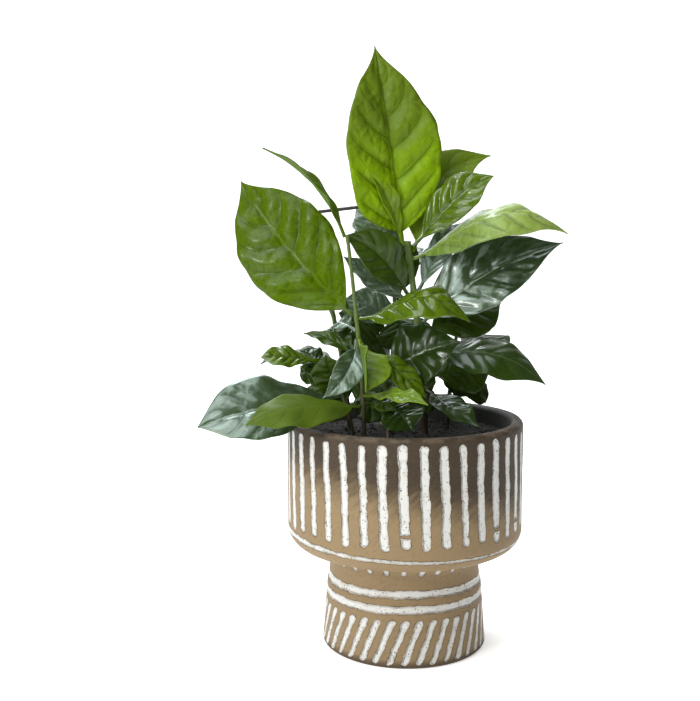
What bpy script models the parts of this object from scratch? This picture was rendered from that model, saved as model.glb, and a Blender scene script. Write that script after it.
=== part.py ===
"""A potted coffee plant: several seedlings in a footed ceramic pot. Metres, +Z up, base at z = 0."""
import math

import bmesh
import bpy
from mathutils import Quaternion, Vector

MM = 0.001
GAP = 0.4 * MM                 # clearance between pieces that touch on the real plant

# Pot
POT_HEIGHT = 135 * MM
BOWL_R = 70 * MM
WALL = 7 * MM
LIP_ROUND = 3 * MM
SHOULDER_R = 12 * MM
SHOULDER_Z = 72 * MM
NECK_R = 45 * MM
NECK_Z = 51 * MM
NECK_FILLET = 6 * MM
FOOT_R = 49 * MM
FOOT_FLARE = 1.4 * MM
BASE_ROUND = 2 * MM
FLOOR = 8 * MM
FLOOR_ROUND = 2 * MM
AROUND = 48                    # steps of every turned piece
ARC_STEPS = 4

# Soil
SOIL_TOP = 126 * MM
SOIL_RINGS = 7
HOLE_DEPTH = 10 * MM
HOLE_SIDES = 12

# Leaves
BLADE_THICKNESS = 0.6 * MM
BLADE_ROWS = 12
PETIOLE = 6 * MM
PETIOLE_WIDTH = 1.8 * MM
TIP_WIDTH = 0.8 * MM
TAPER = 2.1                    # how drawn out the two ends of a blade are
BEND_BEYOND = 0.08             # a blade bends most this far beyond its widest place
BULGE_POWER = 8                # how close to its base a blade's bulge keeps
EDGE_WAVE = 1.0 * MM
WAVES = 2.5                    # ripples along an edge
STEP = 0.02                    # half the stretch of a midrib that its heading is read over

# Stems: foot (right, back), top (right, back, up) and radius at the soil, in mm
STEM_TAPER = 0.75              # share of that radius left at the top
STEM_STEPS = 4
STEM_LEAN = 1.5                # a stem rises upright and leans more and more towards its top
STEMS = {
    "stem_main": ((12, 0), (1, 0, 240), 2.2),
    "stem_left": ((-23, -26), (-33, -24, 243), 1.3),
    "stem_low_left": ((-30, -14), (-46, -16, 171), 1.0),
    "stem_front": ((-9, -38), (-13, -18, 166), 1.2),
    "stem_right": ((26, 14), (34, 24, 200), 1.3),
    "stem_back": ((-4, 28), (-8, 40, 225), 1.3),
    "stem_back_left": ((-34, 14), (-60, 20, 258), 1.4),
}

# Each leaf in mm: its stem and the height it leaves it, the reach of its tip (right, back, up),
# the way its upper face looks, its width and how far along it is widest, and how far it arches,
# how far it bends sideways, how deep it is folded (below 0: its sides hang) and its twist in degrees
LEAVES = {
    "leaf_top": ("stem_main", 239.7, (-17, 6, 114), (0.3, -1, 0.1), (56, 0.43), (3, 0, 8, 0)),
    "leaf_top_young": ("stem_main", 238, (-22, -10, 45), (0.5, -0.8, 0.3), (12, 0.5), (1, 3, 3, 0)),
    "leaf_top_fresh": ("stem_main", 237, (46, -8, 40), (-0.3, -0.9, 0.3), (25, 0.55), (3, -3, 2, 0)),
    "leaf_top_behind": ("stem_main", 234, (47, 25, 58), (-0.2, -0.9, 0.3), (35, 0.5), (4, -14, 2, 0)),
    "leaf_grey_behind": ("stem_main", 226, (-31, 18, 35), (0.2, -0.8, 0.5), (28, 0.5), (3, 0, 2, 0)),
    "leaf_arching_right": ("stem_main", 230, (87, -15, 14), (-0.2, -0.6, 0.8), (31, 0.53), (21, 0, -5, 0)),
    "leaf_tall_behind": ("stem_main", 210, (32, 26, 43), (-0.5, -0.8, 0.3), (20, 0.5), (3, -2, 2, 0)),
    "leaf_dark_centre": ("stem_main", 207, (-38, -20, 36), (0.3, -0.9, 0.2), (26, 0.5), (3, 5, 3, 0)),
    "leaf_under_centre": ("stem_main", 204, (-39, -8, 27), (0, -0.7, 0.6), (17, 0.5), (2, -2, 2, 0)),
    "leaf_glossy_right": ("stem_main", 192, (81, -4, 47), (-0.1, -0.9, 0.4), (41, 0.43), (4, -5, 3, 0)),
    "leaf_veined_left": ("stem_main", 192, (-40, 6, 14), (0, -0.9, 0.4), (22, 0.62), (2, 0, 1, 0)),
    "leaf_dark_right_behind": ("stem_main", 186, (48, 20, 17), (0, -0.8, 0.5), (36, 0.5), (3, 0, 2, 0)),
    "leaf_drooping_right": ("stem_main", 174, (69, -18, -16), (0, -0.65, 0.75), (30, 0.5), (14, 0, -3, 0)),
    "leaf_low_right_behind": ("stem_main", 160, (38, 8, 2), (0, -0.8, 0.5), (30, 0.55), (3, 0, 1, 0)),
    "leaf_rim_right": ("stem_main", 152, (29, -36, -16), (0.2, -0.6, 0.8), (20, 0.5), (3, 3, 2, 0)),
    "leaf_left_big": ("stem_left", 197, (-69, 33, 79), (-0.3, -1, 0.2), (57, 0.47), (3, -3, 4, 0)),
    "leaf_left_narrow": ("stem_left", 242, (-46, 0, 50), (0.7, -0.35, 0.65), (13, 0.42), (8, 0, 2, 25)),
    "leaf_arching_front": ("stem_left", 196, (61, -23, 0), (0, -0.6, 0.8), (28, 0.59), (17, 0, -4, 0)),
    "leaf_dark_back_left": ("stem_left", 189, (-11, 14, 4), (0, -0.8, 0.5), (16, 0.5), (2, 0, 1, 0)),
    "leaf_light_folded": ("stem_left", 184, (5, -28, -26), (0.7, -0.7, 0.1), (22, 0.5), (1, 0, 11, 0)),
    "leaf_blue_folded": ("stem_left", 184, (-17, -24, -30), (0.3, -0.9, 0.2), (17, 0.42), (2, -4, 4, 0)),
    "leaf_behind_light": ("stem_left", 179, (36, -16, -26), (0.2, -0.8, 0.6), (16, 0.5), (3, 0, 2, 0)),
    "leaf_dark_left": ("stem_left", 177, (-19, 22, 11), (0, -0.7, 0.6), (13, 0.5), (2, 0, 1, 0)),
    "leaf_thin_left": ("stem_left", 174, (-31, 6, 13), (0, -0.7, 0.7), (9, 0.45), (2, 2, 1, 0)),
    "leaf_light_right": ("stem_left", 152, (35, -45, 2), (0.1, -0.6, 0.8), (14, 0.5), (3, 0, 1, 0)),
    "leaf_front_small": ("stem_left", 148, (18, -18, -2), (0, -0.6, 0.8), (12, 0.5), (2, 0, 1, 0)),
    "leaf_light_low": ("stem_left", 146, (-59, -44, -4), (0.1, -0.6, 0.8), (26, 0.56), (7, 0, -2, 0)),
    "leaf_quilted": ("stem_low_left", 170.7, (-35, -12, 3), (0, -0.8, 0.6), (14, 0.62), (2, 0, 1, 0)),
    "leaf_shiny_left": ("stem_low_left", 164, (-20, 14, 11), (0, -0.6, 0.8), (16, 0.5), (2, 0, 1, 0)),
    "leaf_mid_left": ("stem_low_left", 160, (14, 8, 22), (0, -0.8, 0.5), (14, 0.5), (2, 0, 1, 0)),
    "leaf_oval_left": ("stem_low_left", 152, (-7, -16, 24), (-0.2, -0.9, 0.3), (24, 0.5), (2, 0, 2, 0)),
    "leaf_dark_low": ("stem_low_left", 150, (-77, -35, -13), (-0.1, -0.8, 0.6), (42, 0.56), (5, 0, 2, 0)),
    "leaf_small_low_left": ("stem_low_left", 146, (-22, 4, 20), (0, -0.8, 0.6), (12, 0.5), (2, 0, 1, 0)),
    "leaf_centre_shiny": ("stem_front", 164, (43, -14, 20), (-0.2, -0.9, 0.4), (38, 0.36), (3, -2, 2, 0)),
    "leaf_front_hanging": ("stem_front", 150, (14, -16, -15), (0.1, -0.8, 0.5), (28, 0.5), (3, 0, 2, 0)),
    "leaf_back_1": ("stem_back", 222, (-26, 48, 26), (0, 0.4, 0.9), (38, 0.45), (8, 0, 3, 0)),
    "leaf_back_2": ("stem_back", 214, (34, 56, 18), (0.2, 0.4, 0.9), (38, 0.45), (10, 0, 3, 0)),
    "leaf_back_3": ("stem_back", 186, (-12, 66, 0), (0, 0.4, 0.9), (42, 0.45), (12, 0, 3, 0)),
    "leaf_back_4": ("stem_back", 160, (28, 58, -12), (0.2, 0.4, 0.9), (36, 0.45), (10, 0, 2, 0)),
    "leaf_fill_4": ("stem_back", 204, (11, -8, 36), (0, -0.9, 0.3), (14, 0.5), (2, 0, 1, 0)),
    "leaf_fill_3": ("stem_back", 196, (8, -16, -24), (0, -0.9, 0.3), (34, 0.5), (4, 0, 2, 0)),
    "leaf_fill_2": ("stem_back", 158, (12, -16, -18), (0.1, -0.9, 0.3), (34, 0.5), (4, 0, 2, 0)),
    "leaf_fill_1": ("stem_back", 178, (-28, -24, -6), (-0.1, -0.9, 0.4), (32, 0.5), (4, 0, 2, 0)),
    "leaf_back_left_1": ("stem_back_left", 248, (-20, 50, -8), (-0.3, 0.3, 0.9), (34, 0.45), (8, 0, 3, 0)),
    "leaf_back_left_2": ("stem_back_left", 196, (-24, 56, 4), (0, 0.4, 0.9), (34, 0.45), (9, 0, 2, 0)),
    "leaf_back_left_3": ("stem_back_left", 162, (-54, 30, 0), (-0.4, 0.2, 0.9), (32, 0.45), (8, 0, 2, 0)),
    "leaf_fill_5": ("stem_back_left", 150, (32, -16, -10), (0.1, -0.9, 0.4), (34, 0.5), (4, 0, 2, 0)),
    "leaf_back_right_1": ("stem_right", 198, (38, 52, 16), (0.3, 0.4, 0.9), (38, 0.45), (10, 0, 3, 0)),
    "leaf_back_right_2": ("stem_right", 176, (34, 44, -10), (0.4, 0.3, 0.9), (30, 0.45), (10, 0, 2, 0)),
    "leaf_fill_6": ("stem_main", 150, (-14, -20, -8), (0, -0.8, 0.5), (26, 0.5), (3, 0, 2, 0)),
}

# How much fuller the left and the right half of a leaf are close to its base
BULGE = {
    "leaf_top": (1.8, 0.4),
    "leaf_arching_right": (1, 1),
    "leaf_arching_front": (2, 2),
    "leaf_light_low": (1.5, 1.5),
}

# Twig: a dry side shoot, from (right, back, up) to (right, back, up), and its radius, in mm
TWIG = ((-58.2, 19.4, 257.6), (-28, 0, 260), 1.0)

GREENS = {"light": (0.30, 0.42, 0.10), "mid": (0.08, 0.20, 0.05), "dark": (0.02, 0.06, 0.03)}
LIGHT_LEAVES = ("leaf_top", "leaf_top_fresh", "leaf_arching_right", "leaf_arching_front",
                "leaf_light_folded", "leaf_light_right", "leaf_light_low", "leaf_quilted")
MID_LEAVES = ("leaf_left_big", "leaf_top_young", "leaf_left_narrow", "leaf_behind_light")


def collection(name):
    made = bpy.data.collections.new(name)
    bpy.context.scene.collection.children.link(made)
    return made


def material(name, colour, roughness):
    made = bpy.data.materials.new(name)
    made.use_nodes = True
    shader = made.node_tree.nodes["Principled BSDF"]
    shader.inputs["Base Color"].default_value = (*colour, 1)
    shader.inputs["Roughness"].default_value = roughness
    made.diffuse_color = (*colour, 1)
    return made


def mesh_object(name, bm, colour, roughness, where):
    mesh = bpy.data.meshes.new(name)
    bm.to_mesh(mesh)
    bm.free()
    made = bpy.data.objects.new(name, mesh)
    mesh.materials.append(material(name, colour, roughness))
    where.objects.link(made)
    return made


def arc(centre, radius, start, end):
    """Points of an arc in the (radius, height) plane; angles in degrees from +radius."""
    steps = [math.radians(start + (end - start) * i / ARC_STEPS) for i in range(ARC_STEPS + 1)]
    return [(centre[0] + radius * math.cos(a), centre[1] + radius * math.sin(a)) for a in steps]


def turned(name, profile, colour, roughness, where):
    """A turned piece from its (radius, height) profile, which starts and ends on the axis."""
    bm = bmesh.new()
    verts = [bm.verts.new((r, 0, z)) for r, z in profile]
    for a, b in zip(verts, verts[1:]):
        bm.edges.new((a, b))
    made = mesh_object(name, bm, colour, roughness, where)
    screw = made.modifiers.new("Turn", "SCREW")
    screw.steps = screw.render_steps = AROUND
    screw.use_merge_vertices = True
    screw.merge_threshold = 0.01 * MM
    screw.use_smooth_shade = True
    return made


def cavity(gap):
    """Inside of the pot from its floor up, drawn in by a gap."""
    foot_fillet = WALL + NECK_FILLET
    foot_centre = (NECK_R + NECK_FILLET, NECK_Z)
    shoulder_centre = (BOWL_R - SHOULDER_R, SHOULDER_Z)
    neck = NECK_R - WALL - gap
    foot = FOOT_R - WALL - gap
    points = [(foot - FLOOR_ROUND, FLOOR + gap), (foot, FLOOR + FLOOR_ROUND + gap)]
    points += [(neck, NECK_Z - NECK_FILLET)]
    points += arc(foot_centre, foot_fillet + gap, 180, 90)
    points += arc(shoulder_centre, SHOULDER_R - WALL - gap, -90, 0)
    return points


def make_pot(where):
    lip_z = POT_HEIGHT - LIP_ROUND
    profile = [(0, FLOOR)] + cavity(0)
    profile += arc((BOWL_R - WALL + LIP_ROUND, lip_z), LIP_ROUND, 180, 90)
    profile += arc((BOWL_R - LIP_ROUND, lip_z), LIP_ROUND, 90, 0)
    profile += arc((BOWL_R - SHOULDER_R, SHOULDER_Z), SHOULDER_R, 0, -90)
    profile += arc((NECK_R + NECK_FILLET, NECK_Z), NECK_FILLET, 90, 180)
    profile += [(NECK_R, NECK_Z - NECK_FILLET), (NECK_R + FOOT_FLARE, NECK_Z - 2 * NECK_FILLET)]
    profile += arc((FOOT_R - BASE_ROUND, BASE_ROUND), BASE_ROUND, 0, -90)
    profile += [(0, 0)]
    return turned("pot", profile, (0.10, 0.07, 0.045), 0.5, where)


def stem_point(name, up):
    """Axis of a stem at a height: upright where it leaves the soil, leaning towards its top."""
    foot, top, _ = STEMS[name]
    rise = max(0.0, (up - SOIL_TOP / MM) / (top[2] - SOIL_TOP / MM))
    lean = rise ** STEM_LEAN
    return Vector((foot[0] + (top[0] - foot[0]) * lean, foot[1] + (top[1] - foot[1]) * lean, up)) * MM


def stem_radius(name, up):
    """Radius of a stem at a height: it thins evenly from the soil to its top."""
    top = STEMS[name][1][2]
    share = max(0.0, (up - SOIL_TOP / MM) / (top - SOIL_TOP / MM))
    return STEMS[name][2] * MM * (1 - (1 - STEM_TAPER) * share)


def rod(name, points, radii, colour, where):
    """A closed round rod through its points, with a radius at each."""
    curve = bpy.data.curves.new(name, "CURVE")
    curve.dimensions = "3D"
    curve.bevel_depth = 1
    curve.bevel_resolution = 2
    curve.use_fill_caps = True
    spline = curve.splines.new("POLY")
    spline.points.add(len(points) - 1)
    for place, at, radius in zip(spline.points, points, radii):
        place.co = (*at, 1)
        place.radius = radius
    curve.materials.append(material(name, colour, 0.6))
    made = bpy.data.objects.new(name, curve)
    where.objects.link(made)
    return made


def make_stem(name, where):
    soil = SOIL_TOP / MM
    foot = (SOIL_TOP - HOLE_DEPTH + GAP) / MM
    rise = (STEMS[name][1][2] - soil) / STEM_STEPS
    heights = [foot] + [soil + rise * i for i in range(STEM_STEPS + 1)]
    return rod(name, [stem_point(name, up) for up in heights],
               [stem_radius(name, up) for up in heights], (0.16, 0.17, 0.06), where)


def make_soil(where, cutters):
    inside = cavity(GAP)
    rim = BOWL_R - WALL - GAP
    profile = [(rim * i / SOIL_RINGS, SOIL_TOP) for i in range(SOIL_RINGS + 1)]
    profile += list(reversed(inside)) + [(0, FLOOR + GAP)]
    soil = turned("soil", profile, (0.05, 0.045, 0.04), 0.95, where)
    for name, (foot, _, radius) in STEMS.items():
        bpy.ops.mesh.primitive_cylinder_add(
            vertices=HOLE_SIDES, radius=radius * MM + GAP, depth=2 * HOLE_DEPTH,
            location=(foot[0] * MM, foot[1] * MM, SOIL_TOP))
        hole = bpy.context.object
        hole.name = "hole_" + name
        hole.hide_render = True
        hole.display_type = "WIRE"
        for owner in list(hole.users_collection):
            owner.objects.unlink(hole)
        cutters.objects.link(hole)
        cut = soil.modifiers.new(hole.name, "BOOLEAN")
        cut.operation = "DIFFERENCE"
        cut.object = hole
    return soil


def blade_width(t, widest):
    """Half-width share of a blade: pointed at its stalk, widest at its own place, drawn to a tip."""
    most = widest ** (TAPER * widest) * (1 - widest) ** (TAPER * (1 - widest))
    return t ** (TAPER * widest) * (1 - t) ** (TAPER * (1 - widest)) / most


def bend_share(u, widest):
    """Share of a blade's whole bend at a place along it: none at its ends."""
    peak = widest + BEND_BEYOND
    power = peak / (1 - peak)
    return u ** power * (1 - u) / (peak ** power * (1 - peak))


def leaf_axes(reach, face):
    """Unit vectors of a leaf: along it, across it and out of its upper face."""
    along = reach.normalized()
    out = (face - along * face.dot(along)).normalized()
    return along, along.cross(out), out


def leaf_start(stem, up, reach, across, out):
    """Where a stalk meets its stem: beside the stem's skin, clear of it by the gap."""
    away = Vector((reach.x, reach.y, 0)).normalized()
    clear = stem_radius(stem, up) + GAP
    clear += abs(across.dot(away)) * PETIOLE_WIDTH / 2 + abs(out.dot(away)) * BLADE_THICKNESS / 2
    return stem_point(stem, up) + away * clear


def make_leaf(name, where):
    stem, up, tip, face, (width, widest), (arch, sway, fold, twist) = LEAVES[name]
    reach = Vector(tip) * MM
    along, across, out = leaf_axes(reach, Vector(face))
    start = leaf_start(stem, up, reach, across, out)
    stalk = PETIOLE / reach.length
    bend = (across * sway + out * arch) * MM
    left, right = BULGE.get(name, (0, 0))

    def midrib(u):
        return start + reach * u + bend * bend_share(u, widest)

    bm = bmesh.new()
    bmesh.ops.create_grid(bm, x_segments=2, y_segments=BLADE_ROWS, size=1)
    for vert in bm.verts:
        side, u = vert.co.x, (vert.co.y + 1) / 2
        t = max(0.0, (u - stalk) / (1 - stalk))
        heading = (midrib(min(1.0, u + STEP)) - midrib(max(0.0, u - STEP))).normalized()
        wide = (across - heading * across.dot(heading)).normalized()
        wide.rotate(Quaternion(heading, math.radians(twist * t)))
        narrow = PETIOLE_WIDTH + (TIP_WIDTH - PETIOLE_WIDTH) * u
        fuller = 1 + (right if side > 0 else left) * (1 - t) ** BULGE_POWER
        half = max(narrow, width * MM * blade_width(t, widest) * fuller) / 2
        opening = half / (width * MM / 2)
        ripple = side * EDGE_WAVE * math.sin(2 * math.pi * WAVES * t)
        lift = (abs(side) * fold * MM + ripple) * opening
        vert.co = midrib(u) + wide * side * half + wide.cross(heading) * lift
    tone = "light" if name in LIGHT_LEAVES else "mid" if name in MID_LEAVES else "dark"
    made = mesh_object(name, bm, GREENS[tone], 0.35, where)
    made.data.shade_smooth()
    skin = made.modifiers.new("Blade", "SOLIDIFY")
    skin.thickness = BLADE_THICKNESS
    skin.offset = 0
    return made


def main():
    for old in list(bpy.data.objects):
        bpy.data.objects.remove(old, do_unlink=True)
    plant = collection("potted_coffee_plant")
    cutters = collection("cutters")
    make_pot(plant)
    make_soil(plant, cutters)
    for name in STEMS:
        make_stem(name, plant)
    for name in LEAVES:
        make_leaf(name, plant)
    twig_ends = [Vector(end) * MM for end in TWIG[:2]]
    rod("twig", twig_ends, [TWIG[2] * MM] * 2, (0.04, 0.035, 0.03), plant)


main()
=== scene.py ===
"""A young coffee plant, several seedlings in a footed stoneware pot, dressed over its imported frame."""
import math
import random

import bpy
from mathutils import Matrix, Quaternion, Vector, noise


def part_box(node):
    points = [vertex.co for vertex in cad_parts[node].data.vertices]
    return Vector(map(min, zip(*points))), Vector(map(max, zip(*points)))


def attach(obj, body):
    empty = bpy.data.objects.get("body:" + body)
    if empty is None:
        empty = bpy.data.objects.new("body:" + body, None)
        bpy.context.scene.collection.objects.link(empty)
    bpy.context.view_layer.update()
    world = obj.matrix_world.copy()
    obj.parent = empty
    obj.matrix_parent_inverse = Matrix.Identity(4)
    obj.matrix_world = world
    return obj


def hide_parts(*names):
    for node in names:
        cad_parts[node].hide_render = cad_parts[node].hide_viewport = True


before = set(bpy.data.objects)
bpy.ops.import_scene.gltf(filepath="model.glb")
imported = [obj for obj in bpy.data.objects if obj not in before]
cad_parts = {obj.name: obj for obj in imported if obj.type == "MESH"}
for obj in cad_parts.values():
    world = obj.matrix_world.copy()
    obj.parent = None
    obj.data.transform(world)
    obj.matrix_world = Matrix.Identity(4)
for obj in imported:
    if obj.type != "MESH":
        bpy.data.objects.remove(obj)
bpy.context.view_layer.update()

# The pot: a thrown stoneware bowl on a flared foot, its wall about 7 mm thick, left a little
# uneven at the rim. Stripes, rings and dashes are scored into the leather-hard clay and filled
# with a white glaze that breaks into iron specks; brown slip is brushed over the upper half.
MM = 0.001
WALL = 7 * MM
LIP_ROUND = 3 * MM
SHOULDER_R = 12 * MM
SHOULDER_Z = 72 * MM
NECK_R = 45 * MM
NECK_Z = 51 * MM
NECK_FILLET = 6 * MM
FOOT_R = 49 * MM
BASE_ROUND = 2 * MM
FLOOR = 8 * MM
FLOOR_CORNER = 2 * MM
BOWL_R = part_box("pot")[1].x
RIM_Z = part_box("pot")[1].z
RIM_LIFT = 1.4 * MM
RIM_LIFT_TOWARDS = math.radians(50)
WALL_RINGS = 12
WALL_SWAY = 0.003
POT_AROUND = 192


def arc(centre, radius, start, end, steps=8):
    """Points of an arc in the (radius, height) plane, angles in degrees."""
    turns = [math.radians(start + (end - start) * i / steps) for i in range(steps + 1)]
    return [(centre[0] + radius * math.cos(a), centre[1] + radius * math.sin(a)) for a in turns]


def raise_rings(name, rings, around):
    """A closed round form pulled up ring by ring; each ring is (x, y, z, radius)."""
    bpy.ops.object.select_all(action="DESELECT")
    x, y, z, radius = rings[0]
    bpy.ops.mesh.primitive_circle_add(vertices=around, radius=radius, location=(x, y, z))
    made = bpy.context.object
    made.name = name
    bpy.ops.object.transform_apply(location=True, rotation=True, scale=True)
    bpy.ops.object.mode_set(mode="EDIT")
    bpy.ops.mesh.select_all(action="SELECT")
    bpy.ops.mesh.duplicate()
    bpy.ops.mesh.edge_face_add()
    bpy.ops.mesh.select_all(action="DESELECT")
    bpy.ops.mesh.select_non_manifold(extend=False, use_wire=True, use_boundary=False,
                                     use_multi_face=False, use_non_contiguous=False, use_verts=False)
    for nx, ny, nz, wide in rings[1:]:
        bpy.ops.mesh.extrude_region_move(TRANSFORM_OT_translate={"value": (nx - x, ny - y, nz - z)})
        share = wide / radius
        bpy.ops.transform.resize(value=(share, share, 1), center_override=(nx, ny, nz))
        x, y, z, radius = nx, ny, nz, wide
    bpy.ops.mesh.edge_face_add()
    bpy.ops.mesh.select_all(action="SELECT")
    bpy.ops.mesh.remove_doubles(threshold=0.01 * MM)
    bpy.ops.mesh.normals_make_consistent(inside=False)
    bpy.ops.object.mode_set(mode="OBJECT")
    return made


def cavity(gap):
    """Inside of the pot from its floor up, drawn in by a gap."""
    foot = FOOT_R - WALL - gap
    points = [(foot - FLOOR_CORNER, FLOOR + gap), (foot, FLOOR + FLOOR_CORNER + gap)]
    points += [(NECK_R - WALL - gap, NECK_Z - NECK_FILLET)]
    points += arc((NECK_R + NECK_FILLET, NECK_Z), WALL + NECK_FILLET + gap, 180, 90)
    points += arc((BOWL_R - SHOULDER_R, SHOULDER_Z), SHOULDER_R - WALL - gap, -90, 0)
    return points


lip_z = RIM_Z - LIP_ROUND
outside = arc((BOWL_R - WALL + LIP_ROUND, lip_z), LIP_ROUND, 180, 90)
outside += arc((BOWL_R - LIP_ROUND, lip_z), LIP_ROUND, 90, 0)
wall_height = lip_z - SHOULDER_Z
outside += [(BOWL_R, SHOULDER_Z + wall_height * ring / WALL_RINGS) for ring in range(WALL_RINGS - 1, 0, -1)]
outside += arc((BOWL_R - SHOULDER_R, SHOULDER_Z), SHOULDER_R, 0, -90, 12)
outside += arc((NECK_R + NECK_FILLET, NECK_Z), NECK_FILLET, 90, 180)
outside += [(NECK_R, NECK_Z - NECK_FILLET), (NECK_R + 0.5 * MM, NECK_Z - 1.6 * NECK_FILLET)]
outside += [(NECK_R + 1.4 * MM, NECK_Z - 2.2 * NECK_FILLET)]
outside += arc((FOOT_R - BASE_ROUND, BASE_ROUND), BASE_ROUND, 0, -90)
pot = raise_rings("stoneware_pot", [(0, 0, z, r) for r, z in cavity(0) + outside], POT_AROUND)


def rim_lift(x, y, z):
    """How far the hand-made rim stands up above a level one."""
    near_rim = max(0.0, (z - SHOULDER_Z) / (RIM_Z - SHOULDER_Z)) ** 2
    turn = math.atan2(y, x) - RIM_LIFT_TOWARDS
    return RIM_LIFT * near_rim * (0.5 + 0.5 * math.cos(turn)) ** 2


for vert in pot.data.vertices:
    vert.co.z += rim_lift(*vert.co)
    sway = 1 + WALL_SWAY * noise.noise(vert.co * 40) * min(1.0, vert.co.z / FLOOR)
    vert.co.x, vert.co.y = vert.co.x * sway, vert.co.y * sway
pot.data.shade_smooth()


class Wire:
    """One socket of a shader. Python's operators on it add the Math nodes they stand for."""

    def __init__(self, tree, socket):
        self.tree, self.socket = tree, socket

    def into(self, slot):
        self.tree.links.new(self.socket, slot)

    def math(self, operation, *others):
        """A Math node of this wire and up to two others."""
        made = self.tree.nodes.new("ShaderNodeMath")
        made.operation = operation
        for slot, term in zip(made.inputs, (self, *others)):
            if isinstance(term, Wire):
                term.into(slot)
            else:
                slot.default_value = term
        return Wire(self.tree, made.outputs[0])

    def __add__(self, other):
        return self.math("ADD", other)

    def __sub__(self, other):
        return self.math("SUBTRACT", other)

    def __rsub__(self, other):
        return self * -1.0 + other

    def __mul__(self, other):
        return self.math("MULTIPLY", other)

    def __pow__(self, other):
        return self.math("POWER", other)

    def __mod__(self, other):
        return self.math("FLOORED_MODULO", other)

    def __abs__(self):
        return self.math("ABSOLUTE")

    def least(self, other):
        return self.math("MINIMUM", other)

    def most(self, other):
        return self.math("MAXIMUM", other)

    __radd__ = __add__
    __rmul__ = __mul__


class Finish:
    """A surface finish: one Principled shader and the nodes that feed it."""

    def __init__(self, name, **constants):
        self.material = bpy.data.materials.new(name)
        self.material.use_nodes = True
        self.tree = self.material.node_tree
        self.shader = self.tree.nodes["Principled BSDF"]
        for socket, value in constants.items():
            self.shader.inputs[socket.replace("_", " ")].default_value = value

    def node(self, kind, settings, sockets, out=0):
        """Any node: its type, its settings, its sockets' values or links, and the output used."""
        made = self.tree.nodes.new("ShaderNode" + kind)
        for key, value in settings.items():
            setattr(made, key, value)
        for key, value in sockets.items():
            slot = made.inputs[key]
            if isinstance(value, Wire):
                value.into(slot)
            elif isinstance(value, tuple) and len(value) == 3 and slot.type == "RGBA":
                slot.default_value = (*value, 1)
            else:
                slot.default_value = value
        return Wire(self.tree, made.outputs[out])

    def place(self):
        """Object coordinates."""
        return self.node("TexCoord", {}, {}, "Object")

    def axes(self, where):
        """x, y and z of a place, in millimetres."""
        return [self.node("SeparateXYZ", {}, {"Vector": where}, axis) * (1 / MM) for axis in "XYZ"]

    def grain(self, where, scale, detail=2.0):
        """Noise from 0 to 1; scale is in lumps to the metre."""
        return self.node("TexNoise", {}, {"Vector": where, "Scale": scale, "Detail": detail})

    def smooth(self, value, low, high):
        """0 at low, 1 at high, eased between them."""
        return self.node("MapRange", {"interpolation_type": "SMOOTHSTEP"},
                         {"Value": value, "From Min": low, "From Max": high})

    def blend(self, share, first, second):
        """A colour that goes from the first to the second."""
        return self.node("Mix", {"data_type": "RGBA"}, {0: share, 6: first, 7: second}, 2)

    def chance(self, number, seed):
        """A fixed random share for each whole number."""
        return self.node("TexWhiteNoise", {"noise_dimensions": "1D"}, {"W": number + seed}, "Value")

    def feed(self, **links):
        """Leads wires into the shader's sockets."""
        for socket, wire in links.items():
            wire.into(self.shader.inputs[socket.replace("_", " ")])

    def relief(self, height, deep):
        """Bump of a height from 0 to 1 that stands for so many metres."""
        self.feed(Normal=self.node("Bump", {}, {"Height": height, "Distance": deep, "Strength": 1.0}))


# The glaze marks, in mm round and up the pot, and the colours of clay, slip and glaze, with the
# painted shade along the marks' grooves. A neck ring has its height, its share of the wave and its
# half-width. The pairs that follow the marks are radii or heights at which a change over the pot
# begins and ends.
STRIPES = 39
STRIPE_RADIUS = 70
STRIPE_HALF = 2.0
STRIPE_HALF_MORE = 0.5
STRIPE_LOW = 73.6
STRIPE_LOW_MORE = 2.4
STRIPE_HIGH = 132.2
STRIPE_HIGH_LESS = 1.2
STRIPE_WANDER = 2.4
STRIPE_LEAN = 0.04 / STRIPE_RADIUS
STRIPE_MIDDLE = 100.0
BREAK_UP = 7.0
BREAK_HALF = 0.9
WHOLE_SHARE = 0.85
OUT_OF_REACH = 20.0
SHOULDER_RING_UP = 70.0
SHOULDER_RING_TILT = 2.0
SHOULDER_RING_HALF = 1.25
SHOULDER_RING_THIN_FRONT = 0.4
SHOULDER_RING_THIN_RIGHT = 0.45
NECK_RINGS = ((41.5, 1.0, 2.1), (33.0, 0.7, 2.2))
NECK_RING_WAVE = 0.5
NECK_RING_WAVES = 3.0
NECK_DASHES = 29
NECK_DASH_RADIUS = 48
NECK_DASH_LOW = 52.4
NECK_DASH_HIGH = 57.4
NECK_DASH_HALF = 1.6
NECK_DASH_SHORTER = 1.2
FOOT_DASHES = 37
FOOT_DASH_RADIUS = 48.5
FOOT_DASH_LOW = 2.4
FOOT_DASH_HIGH = 26.6
FOOT_DASH_HIGH_MORE = 1.0
FOOT_DASH_HALF = 1.7
FOOT_DASH_SLANT = 0.39
FOOT_DASH_WIDER = 0.93
BLOB_UP = (20.0, 24.0)
BLOB = 0.45
RAGGED_COARSE = 2.9
RAGGED_FINE = 1.3
FOOT_OUTSIDE = (43.0, 44.0)
RIM_OUTSIDE = (66.5, 67.5)
BELOW_RIM = (100.0, 98.0)
INSIDE_RADIUS = (65.8, 64.6)
INSIDE_UP = (63.2, 64.2)
SLIP_UP = (86.0, 113.0)
SLIP_BRUSHED = 22.0
BRUSH_SLANT = -0.75
BRUSH_STRETCH = 0.25
SLIP_TILT = 13.0
FOOT_SLIP_UP = (6.0, 1.5)
WORN_UP = (131.8, 134.2)
SPECK_SCALE = 640.0
RELIEF_DEPTH = 1.5 * MM
TAN = (0.27, 0.188, 0.098)
BROWN = (0.035, 0.024, 0.015)
MOTTLE = (0.13, 0.088, 0.048)
DARK_STREAK = (0.085, 0.06, 0.034)
PALE_SCRATCH = (0.2, 0.15, 0.1)
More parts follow.
